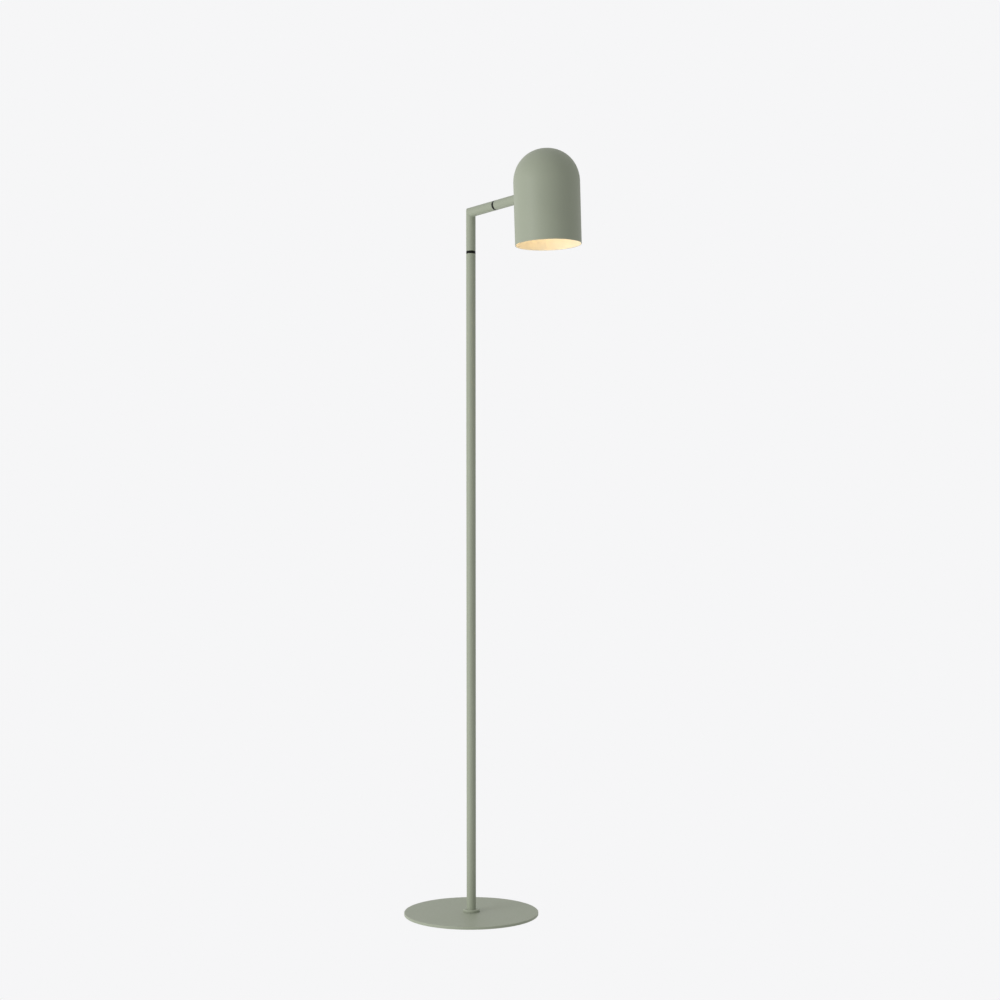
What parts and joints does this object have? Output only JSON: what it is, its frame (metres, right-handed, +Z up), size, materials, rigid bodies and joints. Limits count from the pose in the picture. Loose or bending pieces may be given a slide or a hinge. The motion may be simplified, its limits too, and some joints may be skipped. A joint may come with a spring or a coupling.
{
  "type": "adjustable arm floor lamp",
  "caption": "Slim pole on a flat round base with a square elbow that swivels on the pole and a bullet-shaped metal shade that swivels on the arm.",
  "frame": {"origin": "centre of the foot pad's underside, on the pole's axis, at floor level", "axes": "+Z up along the pole, +X along the arm from the pole to the shade at rest, +Y to the left of the arm"},
  "size_m": [0.416, 0.26, 1.4239],
  "materials": {
    "sage_paint": "matt fine-texture powder coat, sage green",
    "inner_paint": "satin warm white paint inside the shade",
    "black_nylon": "satin black nylon",
    "bright_steel": "zinc-plated turned steel",
    "black_foam": "dense EVA foam",
    "white_plastic": "moulded white plastic",
    "opal_diffuser": "opal diffuser, lit warm white",
    "ceramic": "unglazed white ceramic",
    "flex_sheath": "round black flex sheath"
  },
  "bodies": {
    "stand": {"foot_pad": "black_foam", "base_plate": "sage_paint", "base_bolt": "bright_steel", "pole_flange": "sage_paint", "pole_tube": "sage_paint", "foot_lock_washer": "bright_steel", "pole_foot_plug": "bright_steel", "cord_bush": "black_nylon", "pole_flex": "flex_sheath", "pole_swivel_plug": "bright_steel", "pole_swivel_stem": "bright_steel", "pole_swivel_ring": "black_nylon", "pole_swivel_spring_washer": "bright_steel", "pole_swivel_lock_nut": "bright_steel", "pole_swivel_stop_pin": "bright_steel"},
    "elbow": {"pole_swivel_cup": "bright_steel", "pole_swivel_stop_peg": "bright_steel", "elbow_tube": "sage_paint", "elbow_flex": "flex_sheath", "arm_swivel_plug": "bright_steel", "arm_swivel_stem": "bright_steel", "arm_swivel_ring": "black_nylon", "arm_swivel_spring_washer": "bright_steel", "arm_swivel_lock_nut": "bright_steel", "arm_swivel_stop_pin": "bright_steel"},
    "head": {"arm_swivel_cup": "bright_steel", "arm_swivel_stop_peg": "bright_steel", "arm_tube": "sage_paint", "arm_tip_plug": "bright_steel", "shade": "sage_paint", "shade_nipple": "bright_steel", "shade_saddle_washer": "bright_steel", "shade_nut": "bright_steel", "holder_bracket": "bright_steel", "holder_nut": "bright_steel", "holder_nipple": "bright_steel", "holder_cap": "black_nylon", "holder_shell": "black_nylon", "holder_contact_block": "ceramic", "bulb_screw_cap": "bright_steel", "bulb_collar": "white_plastic", "bulb_diffuser": "opal_diffuser", "head_flex": "flex_sheath"}
  },
  "joints": [
    {"name": "pole_swivel", "type": "hinge", "parent": "stand", "child": "elbow", "pos_m": [0, 0, 1.2738], "axis": [0, 0, 1], "range_deg": [-165, 165]},
    {"name": "arm_swivel", "type": "hinge", "parent": "elbow", "child": "head", "pos_m": [0.0775, 0, 1.35], "axis": [1, 0, 0], "range_deg": [-165, 163]}
  ]
}
